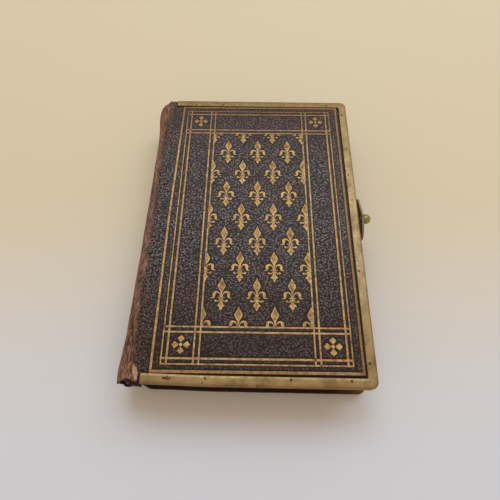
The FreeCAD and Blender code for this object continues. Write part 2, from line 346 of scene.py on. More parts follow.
def morocco():
    """Near-black morocco, rubbed to reddish brown at the edges and to a brown suede on the spine, with
    painted shade in its creases and pressed grooves and painted glints on its crests.
    """
    s = Shader("morocco")
    patches = s.noise(14, 4, 0.6)
    small = s.noise(1.8, 3, 0.65, shift=31)
    fibres = s.noise(0.5, 4, 0.72, stretch=(1, 0.22, 1), shift=7)
    dark = s.mix(s.step(patches, 0.38, 0.7), (0.0120, 0.0075, 0.0100), (0.042, 0.018, 0.023))
    rub = s.times(s.step(s.noise(5.5, 4, 0.7, shift=12), 0.52, 0.74), 0.5)
    dark = s.mix(rub, dark, (0.085, 0.038, 0.034))
    head = s.plus(s.step(s.y, *BROWNER_Y, 0.0, 0.5), s.step(s.y, *BROWNEST_Y, 0.0, 0.5))
    head = s.times(head, s.step(small, 0.3, 0.7))
    dark = s.tint(dark, head, 0.75, (0.120, 0.058, 0.036))
    brown = s.mix(s.step(fibres, 0.34, 0.64), (0.052, 0.026, 0.020), (0.37, 0.225, 0.160))
    blots = s.step(s.noise(2.6, 5, 0.75, stretch=(1, 0.42, 1), shift=3), 0.47, 0.62)
    brown = s.tint(brown, blots, 0.9, (0.036, 0.017, 0.014))
    scuffs = s.step(s.noise(3.4, 4, 0.7, stretch=(1, 0.4, 1), shift=67), 0.60, 0.70)
    brown = s.tint(brown, scuffs, 0.7, (0.43, 0.270, 0.180))
    wander = s.times(s.minus(s.noise(4.0, 4, 0.6, stretch=(1, 0.5, 1)), 0.5), 5.5)
    reach = s.plus(s.x, wander)
    high = s.step(s.z, *SUEDE_Z)
    spine_wear = s.times(s.step(reach, *SUEDE_X), s.plus(0.35, s.times(high, 0.65)))
    ends = s.step(s.plus(s.absolute(s.y), s.times(wander, 1.4)), *SUEDE_END_Y)
    end_wear = s.times(s.times(ends, high), s.step(reach, *SUEDE_END_X))
    wear = s.larger(spine_wear, end_wear)
    edge = s.step(s.plus(s.x, s.times(wander, 0.5)), *RUBBED_X)
    edge = s.larger(edge, s.step(s.plus(s.y, s.times(wander, 0.5)), *RUBBED_Y))
    dark = s.tint(dark, edge, 0.7, (0.12, 0.064, 0.034))
    streaks = s.step(s.noise(1.0, 4, 0.7, stretch=(1, 0.1, 1), shift=41), 0.5, 0.66)
    streaks = s.times(streaks, s.step(reach, *STREAKED_X))
    dark = s.tint(dark, streaks, 0.7, (0.21, 0.105, 0.052))
    # painted shade: the tools' pressed grooves and the deepest creases are darkened towards near black,
    # standing in for the shadow in these recesses
    sunk = s.times(s.step(s.depth(), *SUNK_DEPTH), s.step(s.x, JOIN_X, JOIN_X + 0.4))
    dark = s.tint(dark, sunk, 0.85, NEAR_BLACK)
    color = s.mix(wear, dark, brown)
    grain = s.cells(CREST_SIZE, warp=0.4, rolled_out=True)
    crests = s.step(grain, 0.60, 0.14)
    crests_up = s.times(crests, s.rest(sunk))
    # painted shade: the creases between the grain's crests are darkened towards near black
    creases = s.times(s.rest(crests), s.rest(wear))
    color = s.tint(color, creases, 0.74, NEAR_BLACK)
    # painted glints: the grain's crests are painted lighter, in bluish and purple patches in the band
    # about the middle and dim brown elsewhere
    lit = s.step(s.absolute(s.minus(s.y, SHEEN_MIDDLE_Y)), *SHEEN_REACH)
    purple = s.step(s.noise(9.0, 3, 0.6, shift=71), 0.44, 0.60)
    crest_glint_color = s.mix(purple, (0.118, 0.120, 0.185), (0.140, 0.086, 0.125))
    crest_glint_color = s.mix(lit, (0.082, 0.042, 0.036), crest_glint_color)
    uneven = s.step(s.noise(1.3, 3, 0.7, shift=53), 0.34, 0.66, 0.14, 0.66)
    color = s.mix(s.times(crests_up, uneven), color, crest_glint_color)
    roughness = s.plus(s.step(small, 0.3, 0.7, 0.20, 0.36), s.step(patches, 0.3, 0.7, 0.0, 0.12))
    roughness = s.plus(roughness, s.times(s.rest(crests), 0.12))
    roughness = s.plus(roughness, s.times(wear, 0.42), clamp=True)
    gloss = s.plus(0.26, s.times(crests_up, s.plus(0.45, s.times(lit, 0.6))))
    gloss = s.times(gloss, s.step(wear, 0.2, 0.9, 1.0, 0.5))
    fine = s.bump(fibres, 0.12, 0.6)
    normal = s.bump(crests_up, 0.11, 1.0, fine)
    return s.finish(color, roughness, 0.0, normal, Specular_IOR_Level=gloss)


def shaded_leather_flesh():
    """Inner side and torn thickness of the leather, painted near black as shade for the shadowed gap at
    the joint.
    """
    s = Shader("shaded_leather_flesh")
    fibres = s.noise(0.4, 4, 0.7)
    color = s.mix(s.step(fibres, 0.35, 0.7), (0.008, 0.005, 0.004), (0.030, 0.015, 0.010))
    return s.finish(color, 0.95, 0.0, s.bump(fibres, 0.1))


def raw_leather():
    """Torn edge of leather: tan fibres."""
    s = Shader("raw_leather")
    fibres = s.noise(0.35, 4, 0.7, stretch=(1, 0.25, 1))
    color = s.mix(s.step(fibres, 0.3, 0.7), (0.20, 0.11, 0.065), (0.62, 0.44, 0.30))
    return s.finish(color, 0.9, 0.0, s.bump(fibres, 0.12))


GILT_WORN_HEAD_Y = (30, 58)
GILT_WORN_FORE_X = (29, 35)
GILT_WORN_TAIL_Y = (-56.4, -57.6)


def gilt(name, bright, dull, worn_edges=True, whole=0.6):
    """Gold leaf pressed into leather, broken and dulled by wear."""
    s = Shader(name)
    speck = s.noise(0.42, 3, 0.7)
    cloud = s.noise(1.6, 4, 0.7, shift=5)
    gold = s.mix(s.step(cloud, 0.34, 0.62), dull, bright)
    breaks = s.times(s.step(s.noise(1.3, 4, 0.7, shift=22), whole, whole + 0.09), 0.8)
    lost = s.larger(s.step(speck, 0.66, 0.78), breaks)
    if worn_edges:
        head = s.step(s.y, *GILT_WORN_HEAD_Y)
        fore = s.step(s.x, *GILT_WORN_FORE_X)
        tail = s.step(s.y, *GILT_WORN_TAIL_Y)
        worn = s.larger(s.larger(head, fore), s.times(tail, 0.6))
        gold = s.tint(gold, worn, 0.8, (0.21, 0.115, 0.048))
        lost = s.larger(lost, s.times(worn, s.step(speck, 0.5, 0.66)))
    color = s.tint(gold, lost, 0.8, (0.055, 0.030, 0.020))
    metallic = s.times(s.rest(lost), 0.55)
    roughness = s.step(speck, 0.2, 0.8, 0.38, 0.58)
    return s.finish(color, roughness, metallic, s.bump(s.noise(0.7, 4, 0.7), 0.16, 0.9))


# where the fore-edge rim gets its painted highlight, strongest about its middle
HIGHLIGHT_RIM_X = (FORE_X - 4.5, FORE_X - 2.0)
HIGHLIGHT_RIM_MIDDLE_Y = -8.0
HIGHLIGHT_RIM_REACH = (58, 16)
DULL_RIM_Y = (HALF_H - 4.5, HALF_H - 3.0)
# painted shade on the rim's sides, from these depths below the outer face
SHADED_RIM_DEPTH = (0.75, 1.5)
# painted shade over the lower rim: below these heights, away from its fore-edge end, it is darkened almost
# to black
DARK_RIM_Z = (8.0, 4.0)
DARK_RIM_X = (FORE_X - 1.0, FORE_X - 13.0)
BLOTCH_AT = (-29.0, -59.75)
BLOTCH_SIZE = (1.9, 0.62)


def worn_rim(s, color, cloud):
    """Rim brass: a painted highlight along the fore-edge, painted shade on its sides and over the lower
    rim, blotched at the tail.
    """
    # painted highlight: the fore-edge rim is painted lighter, most about its middle, broken by the brass's
    # clouds
    middle = s.step(s.absolute(s.minus(s.y, HIGHLIGHT_RIM_MIDDLE_Y)), *HIGHLIGHT_RIM_REACH)
    bright = s.times(s.times(s.step(s.x, *HIGHLIGHT_RIM_X), middle), s.step(cloud, 0.78, 0.34))
    color = s.tint(color, bright, 0.8, (0.34, 0.26, 0.155))
    color = s.tint(color, s.step(s.y, *DULL_RIM_Y), 0.6, (0.17, 0.115, 0.05))
    # painted shade: the rim's sides below its outer face are darkened
    painted_shade = s.step(s.plus(s.depth(), s.times(s.noise(1.5, 3, shift=6), 0.5)), *SHADED_RIM_DEPTH)
    color = s.tint(color, painted_shade, 0.8, (0.075, 0.040, 0.022))
    # painted shade: the lower rim is darkened almost to black
    below = s.times(s.step(s.z, *DARK_RIM_Z), s.step(s.x, *DARK_RIM_X))
    color = s.tint(color, below, 0.94, (0.022, 0.010, 0.008))
    across = s.math("DIVIDE", s.minus(s.x, BLOTCH_AT[0]), BLOTCH_SIZE[0])
    along = s.math("DIVIDE", s.minus(s.y, BLOTCH_AT[1]), BLOTCH_SIZE[1])
    blotch = s.plus(s.times(across, across), s.times(along, along))
    blotch = s.times(s.step(blotch, 1.0, 0.45), s.step(s.noise(0.6, 3), 0.36, 0.5))
    return s.tint(color, blotch, 0.9, (0.028, 0.018, 0.010))


def brass(name, base, tarnish, spread, roughness, rim=False):
    """Old brass: toned, spotted and scratched."""
    s = Shader(name)
    cloud = s.noise(6.0, 4, 0.62)
    color = s.mix(s.step(cloud, 0.36 - spread, 0.72 - spread), base, tarnish)
    if rim:
        color = worn_rim(s, color, cloud)
    spots = s.step(s.cells(2.6, warp=1.2), 0.15, 0.07)
    spots = s.times(spots, s.step(s.noise(9, 2, shift=17), 0.48, 0.62))
    color = s.mix(spots, color, (0.05, 0.035, 0.018))
    scratches = s.noise(0.5, 2, 0.6, stretch=(1, 0.12, 1), shift=9)
    dull = s.step(s.noise(1.1, 4, 0.7, shift=2), 0.3, 0.75, roughness - 0.08, roughness + 0.16)
    normal = s.bump(scratches, 0.02, 0.5, s.bump(s.noise(2.4, 3), 0.025, 0.6))
    return s.finish(color, dull, 0.9, normal)


def paper(name, base, aged, sheen=0.0):
    """Aged paper with fibres and foxing."""
    s = Shader(name)
    cloud = s.noise(22, 4, 0.6)
    color = s.mix(s.step(cloud, 0.35, 0.7), base, aged)
    fox = s.step(s.cells(5.0, warp=2.0), 0.14, 0.04)
    fox = s.times(fox, s.step(s.noise(15, 2, shift=4), 0.5, 0.66))
    color = s.tint(color, fox, 0.6, (0.36, 0.20, 0.09))
    fibre = s.noise(0.25, 3, 0.6)
    return s.finish(color, 0.85 - sheen, 0.0, s.bump(fibre, 0.03, 0.6))


def gilt_edge():
    """Gilt page edges, rubbed through in places, with painted shade towards the spine."""
    s = Shader("gilt_edge")
    layers = s.noise(0.09, 2, 0.6, stretch=(0.006, 0.006, 1))
    worn = s.step(s.noise(6, 4, 0.7, shift=8), 0.5, 0.72)
    gold = s.mix(s.step(layers, 0.35, 0.65), (0.46, 0.30, 0.12), (0.70, 0.49, 0.22))
    color = s.tint(gold, worn, 0.35, (0.36, 0.26, 0.15))
    metallic = s.times(s.rest(s.times(worn, 0.4)), 0.8)
    # painted shade: the page edges are darkened towards the spine, where the leather shades them
    painted_shade = s.step(s.x, SHOULDER_X + 1.5, SHOULDER_X - 1.5)
    color = s.tint(color, painted_shade, 0.8, (0.035, 0.022, 0.014))
    return s.finish(color, 0.42, metallic, s.bump(layers, 0.04, 0.7))


def woven(name, base, second, thread):
    """Plain weave of two thread systems."""
    s = Shader(name)
    waves = [s.math("SINE", s.times(axis, math.tau / thread)) for axis in (s.x, s.y)]
    weave = s.times(*waves)
    shade = s.step(weave, -0.6, 0.8)
    color = s.mix(shade, second, base)
    color = s.mix(s.times(s.step(s.noise(4, 3), 0.45, 0.7), 0.5), color, second)
    return s.finish(color, 0.9, 0.0, s.bump(weave, 0.08, 0.8), Sheen_Weight=0.2)


def board_core():
    """Grey-brown millboard with flecks, wrapped in dark leather along its spine side."""
    s = Shader("millboard")
    fleck = s.noise(0.5, 4, 0.75)
    color = s.mix(s.step(fleck, 0.35, 0.7), (0.09, 0.062, 0.042), (0.24, 0.175, 0.12))
    wrapped = s.mix(s.step(fleck, 0.4, 0.75), (0.010, 0.007, 0.007), (0.045, 0.022, 0.016))
    color = s.mix(s.step(s.x, RIM_START_X + 0.3, RIM_START_X - 0.1), color, wrapped)
    return s.finish(color, 0.95, 0.0, s.bump(fleck, 0.08))


# ------------ tooling
TOOL_CENTRE = (-0.45, 0.35)
TOOL_TURN = math.radians(0.3)
# ruled lines: (distance from the tooling's middle, width), outermost first
HEAD_LINES = ((57.45, 0.75), (55.1, 0.44), (53.3, 0.66), (44.3, 0.58), (42.5, 0.54))
TAIL_LINES = ((-57.85, 0.9), (-55.5, 0.46), (-53.7, 0.68), (-44.95, 0.62), (-43.15, 0.56))
SPINE_LINES = ((-34.5, 0.78), (-31.5, 0.42), (-29.72, 0.66), (-20.93, 0.58), (-19.1, 0.54))
FORE_LINES = ((34.75, 0.78), (31.5, 0.44), (29.92, 0.66), (21.05, 0.58), (19.3, 0.54))
SPINE_LINE_LEAN = 1.1     # the outer line beside the spine runs in towards the head
FIELD_EDGES = ((-19.1, 19.3), (-43.15, 42.5))
CROSS_AT = (25.4, 49.25)
FLEUR_PITCH = (12.55, 10.6)
FLEUR_MIDDLE_X = -0.12
FLEUR_FIRST_Y = 43.2
FLEUR_ROWS = 9
FOIL_DEPTH = 0.10
ENGRAVING_LIFT = 0.014    # the engraved lozenges lie just above the gold
PRESS_DEPTH = 0.145
FOIL_T = 0.03
FOIL_STEP = 0.0015         # overlapping foils lie at slightly different heights
WAVER = 0.035
WAVER_STEP = 0.9
# the pressed leather rises back between these distances from the gold
LINE_BORDER = (0.22, 0.62)
STAMP_BORDER = (0.30, 0.72)
STAMP_REACH = (4.6, 6.9)      # half sizes of the area that a stamp can press


def tool_place(u, v):
    """From the tooling's own axes to the cover."""
    c, s = math.cos(TOOL_TURN), math.sin(TOOL_TURN)
    return TOOL_CENTRE[0] + u * c - v * s, TOOL_CENTRE[1] + u * s + v * c


def tool_axes(x, y):
    """From the cover to the tooling's own axes."""
    c, s = math.cos(TOOL_TURN), math.sin(TOOL_TURN)
    dx, dy = x - TOOL_CENTRE[0], y - TOOL_CENTRE[1]
    return dx * c + dy * s, dy * c - dx * s


def tool_lines():
    """Every ruled line: (runs along v, offset, low end, high end, width, lean)."""
    lines = []
    for rank in range(len(HEAD_LINES)):
        end = min(rank, 1)
        low_v, high_v = TAIL_LINES[end][0], HEAD_LINES[end][0]
        low_u, high_u = SPINE_LINES[end][0], FORE_LINES[end][0]
        for side, (offset, width) in enumerate((SPINE_LINES[rank], FORE_LINES[rank])):
            lean = SPINE_LINE_LEAN if rank == 0 and side == 0 else 0.0
            lines.append((True, offset, low_v, high_v, width, lean))
        for offset, width in (TAIL_LINES[rank], HEAD_LINES[rank]):
            start = low_u + (SPINE_LINE_LEAN if rank == 0 and offset > 0 else 0.0)
            lines.append((False, offset, start, high_u, width, 0.0))
    return lines


def lean_at(along, high, lean):
    """Sideways run of a leaning line: none up to its middle, all of it at its high end."""
    return lean * np.clip(along / high, 0, 1)


def smooth_path(points, per_span=5):
    """Catmull-Rom curve through rows of numbers."""
    p = np.asarray(points, float)
    p = np.concatenate([[2 * p[0] - p[1]], p, [2 * p[-1] - p[-2]]])
    out = []
    for a, b, c, d in zip(p[:-3], p[1:-2], p[2:-1], p[3:]):
        for t in np.arange(per_span) / per_span:
            out.append(0.5 * (2 * b + (c - a) * t + (2 * a - 5 * b + 4 * c - d) * t ** 2
                              + (3 * b - a - 3 * c + d) * t ** 3))
    out.append(p[-2])
    return np.array(out)


def stroke(points):
    """Outline of a tapering stroke through (u, v, width) rows."""
    path = smooth_path(points)
    run = np.gradient(path[:, :2], axis=0)
    run /= np.linalg.norm(run, axis=1)[:, None]
    aside = np.stack([-run[:, 1], run[:, 0]], 1) * path[:, 2:] / 2
    return np.concatenate([path[:, :2] + aside, (path[:, :2] - aside)[::-1]])


def both_sides(right_half):
    """Closed outline from its right half, listed from top to bottom."""
    right = np.asarray(right_half, float)
    inner = right[np.abs(right[:, 0]) > 1e-6]
    left = inner[::-1] * (-1, 1)
    return np.concatenate([right, left])


def disc(u, v, radius, sides=14):
    angle = np.arange(sides) * math.tau / sides
    return np.stack([u + radius * np.cos(angle), v + radius * np.sin(angle)], 1)


def fleur_shapes():
    """Outlines of one fleur-de-lis about its middle."""
    petal = smooth_path([(0, 6.2), (0.42, 5.1), (1.02, 4.0), (1.4, 3.05), (1.0, 2.05), (0.48, 1.1),
                         (0.27, 0.4), (0.24, -0.35)], 3)
    foot = smooth_path([(0.22, -1.6), (0.42, -2.6), (0.72, -3.5), (1.42, -4.35), (0.78, -4.62),
                        (0.42, -5.4), (0, -6.2)], 3)
    right = [
        stroke([(0.42, -0.45, 0.16), (0.72, 0.15, 0.3), (1.25, 0.62, 0.5), (1.95, 0.72, 0.78),
                (2.5, 0.3, 1.05), (2.62, -0.5, 0.95), (2.62, -1.1, 0.72), (3.05, -1.5, 0.42),
                (3.9, -1.45, 0.12)]),
        stroke([(0.42, -1.65, 0.3), (0.62, -2.2, 0.34), (1.1, -2.7, 0.36), (1.75, -2.75, 0.3)]),
        disc(1.95, -2.55, 0.42),
    ]
    bars = [
        np.array([(-0.62, -0.42), (0.62, -0.42), (0.55, -0.72), (-0.55, -0.72)]),
        np.array([(-0.58, -0.82), (0.58, -0.82), (0.66, -1.12), (-0.66, -1.12)]),
        np.array([(-1.28, -1.24), (1.28, -1.24), (1.28, -1.5), (-1.28, -1.5)]),
    ]
    left = [shape[::-1] * (-1, 1) for shape in right]
    return [both_sides(petal), both_sides(foot), *right, *left, *bars]


def fleur_engraving():
    """Small engraved lozenges that show dark inside the petal and the foot."""
    upper = both_sides([(0, 5.3), (0.42, 4.4), (0.98, 3.1), (0.55, 2.2), (0, 1.2)])
    lower = both_sides([(0, -2.7), (0.2, -3.4), (0.34, -4.1), (0.16, -4.5), (0, -4.9)])
    return [upper, lower]


def cross_shapes():
    """Four kite petals round a small disc."""
    petal = both_sides(smooth_path([(0, 3.15), (0.55, 2.62), (1.12, 2.1), (0.62, 1.35), (0, 0.72)], 3))
    shapes = [disc(0, 0, 0.6)]
    for quarter in range(4):
        c, s = round(math.cos(quarter * math.pi / 2)), round(math.sin(quarter * math.pi / 2))
        shapes.append(petal @ np.array([[c, s], [-s, c]]))
    return shapes


def fleur_places():
    """Middles of the fleurs: rows of three and four, the outer ones cut by the frame."""
    places = []
    for row in range(FLEUR_ROWS):
        v = FLEUR_FIRST_Y - row * FLEUR_PITCH[1] - TOOL_CENTRE[1]
        columns = (-1.5, -0.5, 0.5, 1.5) if row % 2 == 0 else (-1, 0, 1)
        places += [(FLEUR_MIDDLE_X + c * FLEUR_PITCH[0], v) for c in columns]
    return places


def cross_places():
    return [(a * CROSS_AT[0], b * CROSS_AT[1]) for a in (-1, 1) for b in (-1, 1)]


def clip_to_field(shape):
    """The part of an outline inside the central field, or None."""
    points = [tuple(p) for p in shape]
    for axis in (0, 1):
        for side in (-1, 1):
            edge = side * FIELD_EDGES[axis][(side + 1) // 2]
            kept = []
            for p, q in zip(points, points[1:] + points[:1]):
                p_in = side * p[axis] <= edge
                q_in = side * q[axis] <= edge
                if p_in:
                    kept.append(p)
                if p_in != q_in:
                    t = (side * edge - p[axis]) / (q[axis] - p[axis])
                    kept.append((p[0] + t * (q[0] - p[0]), p[1] + t * (q[1] - p[1])))
            points = kept
            if len(points) < 3:
                return None
    return np.array(points)


def inside(shape, u, v):
    """True for the points inside an outline."""
    hit = np.zeros(len(u), bool)
    for (u1, v1), (u2, v2) in zip(shape, np.roll(shape, -1, 0)):
        crosses = (v1 > v) != (v2 > v)
        if v1 != v2:
            hit ^= crosses & (u < (u2 - u1) * (v - v1) / (v2 - v1) + u1)
    return hit


def distance(shape, u, v):
    """Distance of points from an outline, negative inside."""
    best = np.full(len(u), 1e9)
    for a, b in zip(shape, np.roll(shape, -1, 0)):
        run = b - a
        length = run @ run
        if length < 1e-12:
            continue
        t = np.clip(((u - a[0]) * run[0] + (v - a[1]) * run[1]) / length, 0, 1)
        gap = np.hypot(u - a[0] - t * run[0], v - a[1] - t * run[1])
        best = np.minimum(best, gap)
    return np.where(inside(shape, u, v), -best, best)


def pressed(x, y, with_fleurs):
    """How far the tools have pressed the leather at each point, from 0 to 1."""
    u, v = tool_axes(x, y)
    share = np.zeros(len(u))
    for along_v, offset, low, high, width, lean in tool_lines():
        across, along = (u, v) if along_v else (v, u)
        gap = np.abs(across - offset - lean_at(along, high, lean)) - width / 2
        beyond = np.maximum(along - high, low - along) - width / 2
        share = np.maximum(share, 1 - smoothstep(np.maximum(gap, beyond), *LINE_BORDER))
    stamps = [(cross_shapes(), place, False) for place in cross_places()]
    if with_fleurs:
        stamps += [(fleur_shapes(), place, True) for place in fleur_places()]
    for shapes, (cu, cv), cut_by_frame in stamps:
        near = np.where((np.abs(u - cu) < STAMP_REACH[0]) & (np.abs(v - cv) < STAMP_REACH[1]))[0]
        if cut_by_frame:
            (low_u, high_u), (low_v, high_v) = FIELD_EDGES
            near = near[(u[near] > low_u) & (u[near] < high_u) & (v[near] > low_v) & (v[near] < high_v)]
        for shape in shapes:
            gap = distance(shape, u[near] - cu, v[near] - cv)
            share[near] = np.maximum(share[near], 1 - smoothstep(gap, *STAMP_BORDER))
    return share


def foil_piece(name, shapes, material, depth, body, lower=False):
    """Thin gilt shapes lying in the pressed leather. Each shape is an outline on the cover."""
    verts, faces = [], []
    for number, shape in enumerate(shapes):
        count = len(shape)
        top = TOP_Z - depth + FOIL_STEP * (number % 7)
        first = len(verts)
        verts += [(x, y, top) for x, y in shape]
        verts += [(x, y, top - FOIL_T) for x, y in shape]
        faces.append([first + k for k in range(count)])
        faces.append([first + count + k for k in range(count)][::-1])
        faces += tube_faces(2, count, first, flip=True)
    if lower:
        verts, faces = to_lower(verts, faces)
    piece = add_mesh(name, verts, faces, [material], smooth=False)
    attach(piece, body)
    return piece


def counter_clockwise(shape):
    x, y = shape[:, 0], shape[:, 1]
    area = (x * np.roll(y, -1) - np.roll(x, -1) * y).sum()
    return shape if area > 0 else shape[::-1]


def on_cover(shape, place=(0, 0)):
    """An outline placed on the cover from the tooling's axes."""
    u, v = shape[:, 0] + place[0], shape[:, 1] + place[1]
    x, y = tool_place(u, v)
    return counter_clockwise(np.stack([x, y], 1))


def line_outline(along_v, offset, low, high, width, lean, seed):
    """A ruled line as a long outline whose width and run waver slightly."""
    steps = int((high - low + width) / WAVER_STEP)
    along = np.linspace(low - width / 2, high + width / 2, steps)
    points = np.stack([along, np.full(steps, seed), np.zeros(steps)], 1)
    run = offset + lean_at(along, high, lean) + WAVER * noise_at(points, 6.0, seed)
    edge_a = width / 2 + WAVER * noise_at(points, WAVER_STEP, seed + 3)
    edge_b = width / 2 + WAVER * noise_at(points, WAVER_STEP, seed + 7)
    a = np.stack([run - edge_a, along], 1)
    b = np.stack([run + edge_b, along], 1)[::-1]
    outline = np.concatenate([a, b])
    return outline if along_v else outline[:, ::-1]


def make_tooling(side, ruled, stamped, engraved):
    """Ruled frame and stamps of one cover."""
    lower = side == "lower"
    body = f"{side}_cover"
    lines = [on_cover(line_outline(*line, 1.0 + k)) for k, line in enumerate(tool_lines())]
    foil_piece(f"{side}_gilt_lines", lines, ruled, FOIL_DEPTH, body, lower)
    crosses = [on_cover(shape, place) for place in cross_places() for shape in cross_shapes()]
    foil_piece(f"{side}_gilt_crosses", crosses, stamped, FOIL_DEPTH, body, lower)
    if lower:
        return
    fleurs, cuts = [], []
    for place in fleur_places():
        for shapes, found in ((fleur_shapes(), fleurs), (fleur_engraving(), cuts)):
            for shape in shapes:
                clipped = clip_to_field(shape + np.array(place))
                if clipped is not None:
                    found.append(on_cover(clipped))
    foil_piece("upper_gilt_fleurs", fleurs, stamped, FOIL_DEPTH, body)
    foil_piece("upper_fleur_engraving", cuts, engraved, FOIL_DEPTH - ENGRAVING_LIFT, body)


# ------------ covers
GRAIN = 0.92
GRAIN_DEPTH = 0.13
SWELL_DEPTH = 0.05
PLAIN_GRAIN = 0.01         # the grain's crests lie this far below the outer plane
SWELL_SIZE = 9.0
EDGE_ROLL = 0.22           # the leather rolls down at its edge
EDGE_ROLL_W = 0.7
COVER_STEP = {"upper": 0.32, "lower": 0.45}    # spacing of the leather's points


def grain_height(x, y):
    """Height of untooled leather over the cover's outer plane, which it stays below."""
    flat = np.stack([x, y, np.zeros(len(x))], 1)
    grain = GRAIN_DEPTH * (pebbles_at(flat, GRAIN) - 1)
    swell = SWELL_DEPTH * (noise_at(flat, SWELL_SIZE) - 1) / 2
    return grain + swell - PLAIN_GRAIN


def leather_height(x, y, with_fleurs, edge_gap):
    """Height of the tooled leather over the cover's outer plane, which it stays below."""
    share = pressed(x, y, with_fleurs)
    rolled = -EDGE_ROLL * (1 - smoothstep(edge_gap, 0.0, EDGE_ROLL_W))
    return grain_height(x, y) * (1 - share) - PRESS_DEPTH * share + rolled


def make_cover_leather(side, leather, step, with_fleurs):
    """Leather panel inside the rim, grained and pressed by the tools."""
    half_y = HALF_H - RIM_FACE - RIM_GROOVE
    end_y = PANEL_HIGH.y - 0.1
    fore = FORE_X - RIM_FACE - RIM_GROOVE
    tab_x = RIM_START_X - RIM_GROOVE
    xs = np.unique(np.concatenate([np.arange(JOIN_X, fore, step), [tab_x, fore]]).round(4))
    inner_ys = np.concatenate([np.arange(-half_y, half_y, step), [half_y]])
    tab_ys = np.linspace(half_y, end_y, 7)
    ys = np.unique(np.concatenate([inner_ys, tab_ys, -tab_ys]).round(4))
    grid_x, grid_y = np.meshgrid(xs, ys, indexing="ij")
    x, y = grid_x.ravel(), grid_y.ravel()
    to_rim = np.where(x > tab_x, np.minimum(fore - x, half_y - np.abs(y)), end_y - np.abs(y))
    height = leather_height(x, y, with_fleurs, np.maximum(to_rim, 0))
    top = np.stack([grid_x, grid_y, TOP_Z + height.reshape(grid_x.shape)], 2)
    middle_x = (grid_x[:-1, :-1] + grid_x[1:, 1:]) / 2
    middle_y = (grid_y[:-1, :-1] + grid_y[1:, 1:]) / 2
    keep = (np.abs(middle_y) < half_y) | (middle_x < tab_x)
    verts, faces = closed_plate(top, keep, TOP_Z - LEATHER_T)
    if side == "lower":
        verts, faces = to_lower(verts, faces)
    piece = add_mesh(f"{side}_cover_leather", verts, faces, [leather])
    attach(piece, f"{side}_cover")
    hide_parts(f"{side}_leather")


RIM_ROUND = 0.75              # radius of the rounded outer edge
RIM_STEPS = (70, 9, 110, 9, 70)    # along tail, corner, fore-edge, corner and head
RIM_WAVE = (0.03, 9.0)        # depth and size
RIM_NICK = (0.16, 2.2)
RIM_DRIFT = 0.4               # the tail strip has worked in towards its spine end
RIM_DRIFT_X = -14.0


def rim_profile():
    """Section of the brass channel: (inset from the outer edge, depth below the outer face)."""
    points = [(RIM_FACE, RIM_WALL), (RIM_FACE, 0.12), (RIM_FACE - 0.12, 0.02)]
    points += [(RIM_FACE - 0.9, 0.0), (RIM_FACE - 1.7, 0.0)]
    for k in range(6):
        angle = math.radians(90 + 18 * k)
        points.append((RIM_ROUND * (1 + math.cos(angle)), RIM_ROUND * (1 - math.sin(angle))))
    points += [(0.0, COVER_T - 0.25), (0.07, COVER_T - 0.07), (0.25, COVER_T)]
    points += [(RIM_INNER_LEG, COVER_T), (RIM_INNER_LEG, COVER_T - RIM_WALL)]
    points += [(RIM_WALL, COVER_T - RIM_WALL), (RIM_WALL, RIM_WALL)]
    return np.array(points)


def rim_place(inset, station):
    """Plan place at an inset. Stations are parts (tail, corner, fore-edge, corner, head) with a share."""
    part, t = station
    back = max(RIM_CORNER_R, inset)
    r = max(RIM_CORNER_R - inset, 0)
    x_c, y_c = FORE_X - back, HALF_H - back
    if part == 0:
        return RIM_START_X + t * (x_c - RIM_START_X), -HALF_H + inset
    if part == 4:
        return x_c + t * (RIM_START_X - x_c), HALF_H - inset
    if part == 2:
        return FORE_X - inset, -y_c + t * 2 * y_c
    side = -1 if part == 1 else 1
    angle = math.radians(-90 + 90 * t) if part == 1 else math.radians(90 * t)
    return x_c + r * math.cos(angle), side * y_c + r * math.sin(angle)


def make_rim(side, metal):
    """Three-sided brass rim with the slight waves and nicks of hand-worked, knocked metal."""
    profile = rim_profile()
    stations = []
    for part, count in enumerate(RIM_STEPS):
        last = count + 1 if part == 4 else count
        stations += [(part, k / count) for k in range(last)]
    points = np.array([[(*rim_place(inset, st), depth) for inset, depth in profile] for st in stations])
    flat = points.reshape(-1, 3)
    wave = RIM_WAVE[0] * (noise_at(flat * (1, 1, 0), RIM_WAVE[1], 4.0) - 1) / 2
    nick = -RIM_NICK[0] * smoothstep(noise_at(flat * (1, 1, 0), RIM_NICK[1], 9.0), 0.42, 0.7)
    outer_edge = (flat[:, 2] < 0.9) & (np.tile(profile[:, 0], len(stations)) < 0.8)
    lift = np.where(flat[:, 2] < 1.0, wave, 0) + np.where(outer_edge, nick, 0)
    drift = smoothstep(flat[:, 0], RIM_DRIFT_X, RIM_START_X) * RIM_DRIFT * (flat[:, 1] < -HALF_H / 2)
    verts = np.stack([flat[:, 0], flat[:, 1] + drift, TOP_Z - flat[:, 2] + lift], 1)
    rows, columns = len(stations), len(profile)
    faces = tube_faces(rows, columns)
    faces.append(list(range(columns))[::-1])
    faces.append([(rows - 1) * columns + j for j in range(columns)])
    if side == "lower":
        verts, faces = to_lower(verts, faces)
    piece = add_mesh(f"{side}_brass_rim", verts, faces, [metal], smooth=False)
    shade_by_angle(piece, 40)
    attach(piece, f"{side}_cover")
    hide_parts(f"{side}_rim")


def shade_by_angle(piece, degrees):
    """Smooth shading, with edges sharper than this angle kept sharp."""
    mesh = piece.data
    mesh.polygons.foreach_set("use_smooth", [True] * len(mesh.polygons))
    mesh.set_sharp_from_angle(angle=math.radians(degrees))


# ------------ spine
SPINE_HALF_W = 5.6
SPINE_HALF_H = 9.36
SPINE_LEATHER_T = 0.6
MIDDLE_ANGLE = 24.0
SHOULDER_TOP_ANGLE = 75.0
SPINE_STEP_Y = 0.42
